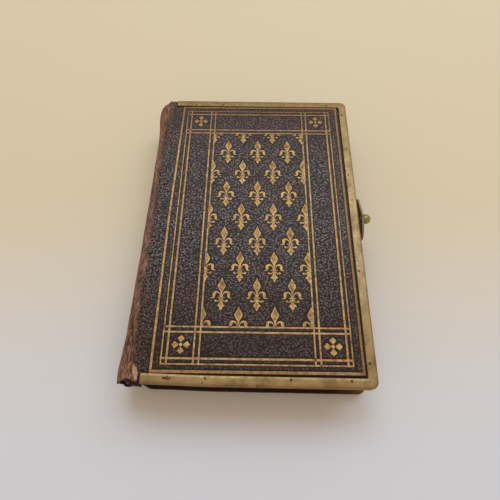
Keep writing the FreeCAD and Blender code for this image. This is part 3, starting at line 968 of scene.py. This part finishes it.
# extra half width of the back along its length, full at the caps
SWELL_AT = (-61.4, -57.0, -45.0, -20.0, 15.0, 45.0, 57.0, 61.4)
SWELL_BY = (1.6, 1.9, 0.95, 0.45, 0.1, 0.1, 1.3, 1.4)
SPINE_END = SWELL_AT[-1]
# the worn surface: depth and size of its features
LUMPS = (0.26, 3.6)
PITS = (0.15, 1.1)
FRAY = ((0.5, 1.3, 5.0), (0.3, 0.5, 8.0))     # depth, size and seed of each layer of fibres
FRAYED_Y = (58.5, SPINE_END)
WORN_GRAIN_LOSS = 0.45
TORN_AT = (-39.9, -58.6)
TORN_SIZE = (1.1, 2.4)
TORN_DEPTH = 0.34
UNROLLED_WORN_X = (-40.4, -42.4)
# how far the ends have worn back: evenly on the lower half, and with an ear and a notch above
UPPER_WORN_Z = 15.5
HEAD_WORN = 0.9
HEAD_WORN_AT_BACK = 2.4
HEAD_WORN_FROM = (-40.9, 5.8)                 # place and width
HEAD_EAR = (0.6, -40.8, 0.45)                 # length, place and width
TAIL_WORN = 0.5
TAIL_NOTCH = (1.3, -42.2, 1.4)
HEAD_WORN_Y = (52, SPINE_END)
TAIL_WORN_Y = (56, SPINE_END)


def joint_profile():
    """From the panel's edge over the joint groove to the shoulder: (x, height)."""
    points = [(JOIN_X, TOP_Z), (-39.2, TOP_Z - 0.01), (-39.9, TOP_Z - 0.10), (-40.6, TOP_Z - 0.32),
              (-41.3, TOP_Z - 0.62), (-41.9, TOP_Z - 0.85)]
    return smooth_path(points, 4)


def round_profile(from_angle, to_angle, count):
    """Round of the back between two angles above the middle plane."""
    angle = np.radians(np.linspace(from_angle, to_angle, count))
    return np.stack([BACK_X - SPINE_HALF_W * np.cos(angle), MID_Z + SPINE_HALF_H * np.sin(angle)], 1)


def run_length(profile):
    """Distance along a profile from its start."""
    return np.concatenate([[0], np.cumsum(np.linalg.norm(np.diff(profile, axis=0), axis=1))])


def hump(x, height, middle, width):
    """Smooth hump of a given height about its middle."""
    return height * np.exp(-((x - middle) / width) ** 2)


def wear_back(y, profile_x, profile_z):
    """How far the ends of the leather have worn back, for each place round the spine."""
    high = smoothstep(profile_z, MID_Z, UPPER_WORN_Z)
    towards_back = np.clip((HEAD_WORN_FROM[0] - profile_x) / HEAD_WORN_FROM[1], 0, 1)
    at_back = HEAD_WORN_AT_BACK * towards_back ** 1.2
    head = HEAD_WORN + (at_back - hump(profile_x, *HEAD_EAR) - HEAD_WORN) * high
    tail = TAIL_WORN + (hump(profile_x, *TAIL_NOTCH) - TAIL_WORN) * high
    return np.where(y > 0, head * smoothstep(y, *HEAD_WORN_Y), tail * smoothstep(-y, *TAIL_WORN_Y))


def spine_grid(profile, run):
    """Outer and inner surface of a stretch of spine leather, as grids of points."""
    end = SPINE_HIGH.y
    ys = np.linspace(-end, end, int(2 * end / SPINE_STEP_Y))
    along = np.gradient(profile, axis=0)
    along /= np.linalg.norm(along, axis=1)[:, None]
    normal = np.stack([along[:, 1], -along[:, 0]], 1)
    swell = np.interp(ys, SWELL_AT, SWELL_BY)
    count = len(ys)
    x, z = np.repeat(profile[:, 0], count), np.repeat(profile[:, 1], count)
    y = np.tile(ys, len(profile))
    unrolled_x = JOIN_X - np.repeat(run, count)
    normals = np.repeat(np.stack([normal[:, 0], np.zeros(len(normal)), normal[:, 1]], 1), count, 0)
    back = np.clip((BACK_X - x) / SPINE_HALF_W, 0, 1)
    middle = np.stack([x - np.tile(swell, len(profile)) * back, y, z], 1)
    flat = np.stack([unrolled_x, y, np.zeros(len(y))], 1)
    worn = smoothstep(unrolled_x, *UNROLLED_WORN_X)
    lumps = LUMPS[0] * (noise_at(flat * (1, 0.6, 1), LUMPS[1], 2.0) - 1) / 2
    pits = -PITS[0] * smoothstep(noise_at(flat, PITS[1], 6.0), 0.15, 0.6)
    lift = grain_height(unrolled_x, y) * (1 - WORN_GRAIN_LOSS * worn) + (lumps + pits) * worn
    fray = sum(deep * np.abs(noise_at(flat * (1, 0.2, 1), size, seed)) for deep, size, seed in FRAY)
    fray *= smoothstep(np.abs(y), *FRAYED_Y) * smoothstep(unrolled_x, JOIN_X, JOIN_X - 1)
    short = wear_back(y, x, z) + fray
    torn = hump(x, TORN_DEPTH, TORN_AT[0], TORN_SIZE[0]) * hump(y, 1, TORN_AT[1], TORN_SIZE[1])
    lift = lift - torn * (z > MID_Z)
    outer = middle + normals * lift[:, None]
    outer[:, 1] -= np.sign(y) * short
    inner = outer - normals * SPINE_LEATHER_T
    shape = (len(profile), count, 3)
    return outer.reshape(shape), inner.reshape(shape)


def leather_strip(name, grids, leather, flesh, lower=False):
    """A strip of leather between two grids, its inner side and cut edges of darker flesh."""
    verts, faces = closed_shell(*grids)
    rows, columns = grids[0].shape[:2]
    outer_faces = (rows - 1) * (columns - 1)
    index = [0] * outer_faces + [1] * (len(faces) - outer_faces)
    if lower:
        verts, faces = to_lower(verts, faces)
    return add_mesh(name, verts, faces, [leather, flesh], index)


def bend(piece):
    """Bakes a strip of leather's placement into its points."""
    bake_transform(piece)


def make_spine(leather, flesh):
    """Three lengths of one leather: lower joint and shoulder, middle of the back, upper ones."""
    shoulder = round_profile(SHOULDER_TOP_ANGLE, MIDDLE_ANGLE, 26)
    profile = np.concatenate([joint_profile(), shoulder])
    run = run_length(profile)
    for half, cover, z in (("front", "upper", TOP_Z), ("rear", "lower", 0)):
        grids = spine_grid(profile, run)
        piece = leather_strip(f"spine_leather_{half}", grids, leather, flesh, cover == "lower")
        bend(piece)
        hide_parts(f"{half}_spine_leather")
    middle = round_profile(MIDDLE_ANGLE, -MIDDLE_ANGLE, 25)
    onward = run_length(middle)
    onward = run[-1] + np.minimum(onward, onward[::-1])
    piece = leather_strip("spine_leather_middle", spine_grid(middle, onward), leather, flesh)
    bend(piece)


FLAP_PATH = [(-40.3, -55.6, 19.72), (-39.9, -56.9, 19.92), (-39.45, -58.2, 19.97), (-39.05, -59.5, 19.95),
             (-38.8, -60.9, 19.85)]
FLAP_HALF_W = 0.72
FLAP_END_HALF_W = 0.08
FLAP_CUP = 0.16
FLAP_T = 0.3


def make_flap(raw):
    """Curled strip of torn leather at the tail end of the upper joint, its fibres showing."""
    path = smooth_path(FLAP_PATH, 6)
    count = len(path)
    width = FLAP_HALF_W * np.sin(np.linspace(0.3, 2.5, count)) + FLAP_END_HALF_W
    across = np.linspace(-1, 1, 7)
    cup = -FLAP_CUP * across ** 2
    grid = np.zeros((count, len(across), 3))
    for k, (point, half) in enumerate(zip(path, width)):
        grid[k] = np.stack([point[0] + across * half, point[1] + across * half * 0.45, point[2] + cup], 1)
    flat = grid.reshape(-1, 3)
    flat[:, 2] += 0.04 * (noise_at(flat, 0.5, 3.0) - 1)
    under = flat - (0, 0, FLAP_T)
    verts, faces = closed_shell(flat.reshape(grid.shape), under.reshape(grid.shape))
    faces = [list(f)[::-1] for f in faces]
    piece = add_mesh("torn_leather_flap", verts, faces, [raw])
    bend(piece)


# ------------ text block
SECTIONS = 4
LEAVES_PER_SECTION = 15
LEAF_EDGE_STEP = 0.11
LEAF_WANDER = (0.035, 8.0)    # depth and size
BLOCK_HALF_T = FLYLEAF_LOW.z - MID_Z - 0.05


def leaf_fore_x(t):
    """Fore-edge of the leaf at fraction t of a half: hollow towards the middle."""
    hollow = (FLYLEAF_HIGH.x - MIDDLE_LEAF_X) / (1 - 1 / SECTIONS ** 2)
    return FLYLEAF_HIGH.x - hollow * (1 - t * t)


def leaf_ring(t, z, trim, seed):
    """One leaf's edge from the back at the head, round the fore-edge, to the back at the tail."""
    angle = math.radians(SHOULDER_ANGLE * t)
    back = (BACK_X - BACK_LEAF_HALF_W * math.cos(angle), MID_Z + BACK_LEAF_HALF_H * math.sin(angle))
    fore = leaf_fore_x(t) - trim
    half_y = LEAF_HALF_H - trim
    xs = np.concatenate([[back[0], SHOULDER_X], np.linspace(SHOULDER_X, fore, 30)[1:]])
    heights = np.full(len(xs), z)
    heights[0] = back[1]
    head = np.stack([xs, np.full(len(xs), half_y), heights], 1)
    ys = np.linspace(half_y, -half_y, 44)[1:-1]
    front = np.stack([np.full(len(ys), fore), ys, np.full(len(ys), z)], 1)
    tail = head[::-1] * (1, -1, 1)
    ring = np.concatenate([head, front, tail])
    wander = LEAF_WANDER[0] * noise_at(ring * (1, 1, 0), LEAF_WANDER[1], seed)
    edge = np.zeros(len(ring))
    edge[2:-2] = wander[2:-2]
    ring[:, 0] -= np.abs(edge) * (ring[:, 0] > fore - 0.2)
    ring[:, 1] -= np.sign(ring[:, 1]) * np.abs(edge) * (np.abs(ring[:, 1]) > half_y - 0.2)
    return ring, len(head)


def make_section(side, number, page, edge):
    """A gathering as a stack of separate leaves whose edges step in and out."""
    rng = np.random.default_rng(100 * number + (side == "rear"))
    rings = []
    for leaf in range(LEAVES_PER_SECTION):
        trim = LEAF_EDGE_STEP * rng.random() ** 1.5
        seed = float(number * 50 + leaf)
        for end in (leaf, leaf + 1):
            t = (number - 1 + end / LEAVES_PER_SECTION) / SECTIONS
            ring, head_count = leaf_ring(t, MID_Z + t * BLOCK_HALF_T, trim, seed)
            rings.append(ring)
    rows, columns = len(rings), len(rings[0])
    verts = np.concatenate(rings)
    faces = tube_faces(rows, columns, flip=True)
    index = ([1] * (columns - 1) + [0]) * (rows - 1)
    for row, flip in ((0, False), (rows - 1, True)):
        first = row * columns
        cap = []
        for j in range(head_count - 1):
            tail = columns - 1 - j
            cap.append([first + j, first + j + 1, first + tail - 1, first + tail])
        cap.append([first + k for k in range(head_count - 1, columns - head_count + 1)])
        for face in cap:
            faces.append(face[::-1] if flip else face)
            index.append(0)
    if side == "rear":
        verts, faces = to_lower(verts, faces)
    piece = add_mesh(f"{side}_leaves_{number}", verts, faces, [page, edge], index, smooth=False)
    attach(piece, f"{side}_block")
    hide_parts(f"{side}_section_{number}")


BAND_HALF_W = 3.45
BAND_HALF_H = 7.4
BAND_CORE_R = 0.52
BAND_OUT = 0.58               # from the leaves' ends to the middle of the core
BAND_WRAPS = 38
BAND_RIDGE = 0.14
WRAPS_PER_COLOR = 3


def make_endbands(side, silks):
    """Silk worked over a round core: ridged tubes following the back at head and tail."""
    per_wrap, around = 4, 10
    stations = BAND_WRAPS * per_wrap + 1
    verts, faces, index = [], [], []
    for end in (1, -1):
        first = len(verts)
        for k in range(stations):
            angle = math.radians(4 + (SHOULDER_ANGLE - 8) * k / (stations - 1))
            centre = np.array([BACK_X - BAND_HALF_W * math.cos(angle), end * (LEAF_HALF_H + BAND_OUT),
                               MID_Z + BAND_HALF_H * math.sin(angle)])
            out = np.array([-math.cos(angle) / BAND_HALF_W, 0, math.sin(angle) / BAND_HALF_H])
            out /= np.linalg.norm(out)
            ridge = BAND_CORE_R * (1 - BAND_RIDGE + BAND_RIDGE * abs(math.sin(math.pi * k / per_wrap)))
            for a in range(around):
                turn = math.tau * a / around
                verts.append(centre + ridge * (out * math.cos(turn) + np.array([0, math.sin(turn), 0])))
        faces += tube_faces(stations, around, first)
        bands = [k // (per_wrap * WRAPS_PER_COLOR) % 2 for k in range(stations - 1)]
        index += [band for band in bands for _ in range(around)]
        faces.append([first + a for a in range(around)][::-1])
        faces.append([first + (stations - 1) * around + a for a in range(around)])
        index += [0, 0]
    if side == "rear":
        verts, faces = to_lower(verts, faces)
    piece = add_mesh(f"{side}_silk_endbands", verts, faces, silks, index)
    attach(piece, f"{side}_block")
    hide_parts(f"{side}_endbands")


# ------------ carried-over CAD pieces
def dress(node, material, bevel=0.0, smooth_angle=None):
    """Gives a CAD node its material and, where wanted, softened edges."""
    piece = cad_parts[node]
    piece.data.materials.clear()
    piece.data.materials.append(material)
    if smooth_angle:
        shade_by_angle(piece, smooth_angle)
    if bevel:
        rounding = piece.modifiers.new("rounding", "BEVEL")
        rounding.width = bevel * MM
        rounding.segments = 2
        rounding.limit_method = "ANGLE"
        rounding.angle_limit = math.radians(40)
        rounding.harden_normals = False


# ------------ stage
TABLE_HALF = 3000
TABLE_DROP = 0.02             # keeps the table just clear of the book's lower face
# painted light: the table's colour runs from warm far away to cool near, standing in for the colour of the
# light falling on it
TABLE_FAR = (0.67, 0.66, 0.54)
TABLE_NEAR = (0.64, 0.75, 0.95)
ROOM_COLOR = (1.0, 0.70, 0.45, 1)
ROOM_LIGHT = 0.70
# name, place, side in metres, power and colour
WINDOWS = (("window", (-150, 620, 1060), 0.58, 4.1, (0.76, 0.90, 1.0)),
           ("second_window", (420, 530, 780), 0.60, 2.3, (0.82, 0.93, 1.0)))


def make_stage():
    """Plain pale table top, its colour painted from warm far away to cool near as painted light, and soft
    studio light.
    """
    s = Shader("table")
    cloud = s.noise(90, 2, 0.5)
    near = s.step(s.plus(s.y, s.times(cloud, 12)), 40, -90)
    color = s.mix(near, TABLE_FAR, TABLE_NEAR)
    material = s.finish(color, 0.75, 0.0, s.bump(s.noise(0.8, 3), 0.02, 0.3))
    verts = [(a * TABLE_HALF, b * TABLE_HALF, 0) for a, b in ((-1, -1), (1, -1), (1, 1), (-1, 1))]
    floor = add_mesh("table_top", verts, [[0, 1, 2, 3]], [material], smooth=False)
    floor.location.z = -TABLE_DROP * MM
    world = bpy.data.worlds.new("studio")
    world.use_nodes = True
    background = world.node_tree.nodes["Background"]
    background.inputs["Color"].default_value = ROOM_COLOR
    background.inputs["Strength"].default_value = ROOM_LIGHT
    bpy.context.scene.world = world
    for window in WINDOWS:
        add_light(*window)


def add_light(name, place, size, power, color):
    """Square soft light aimed at the book."""
    data = bpy.data.lights.new(name, "AREA")
    data.shape = "SQUARE"
    data.size = size
    data.energy = power
    data.color = color
    light = bpy.data.objects.new(name, data)
    light.location = Vector(place) * MM
    aim = Vector((0, 0, MID_Z)) * MM - light.location
    light.rotation_euler = aim.to_track_quat("-Z", "Y").to_euler()
    bpy.context.scene.collection.objects.link(light)


# ------------ the book
make_camera()
bpy.context.scene.view_settings.view_transform = "Standard"

leather = morocco()
rim_metal = brass("rim_brass", (0.33, 0.250, 0.125), (0.19, 0.140, 0.066), 0.0, 0.48, rim=True)
clasp_metal = brass("clasp_brass", (0.21, 0.165, 0.10), (0.085, 0.060, 0.034), 0.02, 0.36)
knob_metal = brass("knob_brass", (0.40, 0.33, 0.17), (0.20, 0.15, 0.07), 0.0, 0.36)
pin_metal = brass("pin_brass", (0.16, 0.12, 0.06), (0.06, 0.045, 0.025), 0.1, 0.5)
page = paper("page", (0.72, 0.64, 0.47), (0.60, 0.49, 0.32))
endpaper = paper("endpaper", (0.74, 0.68, 0.54), (0.62, 0.53, 0.38), 0.1)
# the spine lining is painted dark brown as shade, so its ends show no light line in the shadow at the
# spine
lining = paper("lining_paper", (0.20, 0.145, 0.09), (0.12, 0.085, 0.05))
edge_gold = gilt_edge()
linen = woven("linen", (0.62, 0.54, 0.40), (0.40, 0.33, 0.23), 0.55)
silks = [woven("silk_red", (0.06, 0.016, 0.012), (0.025, 0.008, 0.006), 0.22),
         woven("silk_cream", (0.12, 0.085, 0.05), (0.05, 0.035, 0.02), 0.22)]
millboard = board_core()

for side in ("upper", "lower"):
    make_cover_leather(side, leather, COVER_STEP[side], side == "upper")
    make_rim(side, rim_metal)
    dress(f"{side}_rim_pins", pin_metal, 0.06)
    dress(f"{side}_board", millboard)
    dress(f"{side}_pastedown", endpaper)
gold_lines = gilt("gilt_lines", (0.50, 0.335, 0.155), (0.27, 0.165, 0.068), whole=0.55)
gold_stamps = gilt("gilt_stamps", (0.53, 0.365, 0.155), (0.27, 0.170, 0.066))
gold_engraved = gilt("gilt_engraved", (0.37, 0.235, 0.090), (0.12, 0.068, 0.026))
gold_lower = gilt("gilt_lower", (0.50, 0.335, 0.155), (0.27, 0.165, 0.068), worn_edges=False)
make_tooling("upper", gold_lines, gold_stamps, gold_engraved)
make_tooling("lower", gold_lower, gold_lower, None)
make_spine(leather, shaded_leather_flesh())
make_flap(raw_leather())
for side in ("front", "rear"):
    for number in range(1, SECTIONS + 1):
        make_section(side, number, page, edge_gold)
    make_endbands(side, silks)
    dress(f"{side}_sewing_tapes", linen)
    dress(f"{side}_spine_lining", lining)
    dress(f"{side}_flyleaf", endpaper)
dress("clasp_hasp", clasp_metal, 0.14, 35)
dress("clasp_hinge", clasp_metal, 0.1, 35)
dress("clasp_pin", pin_metal, 0.08, 35)
dress("clasp_knob", knob_metal, 0.0, 35)
make_stage()
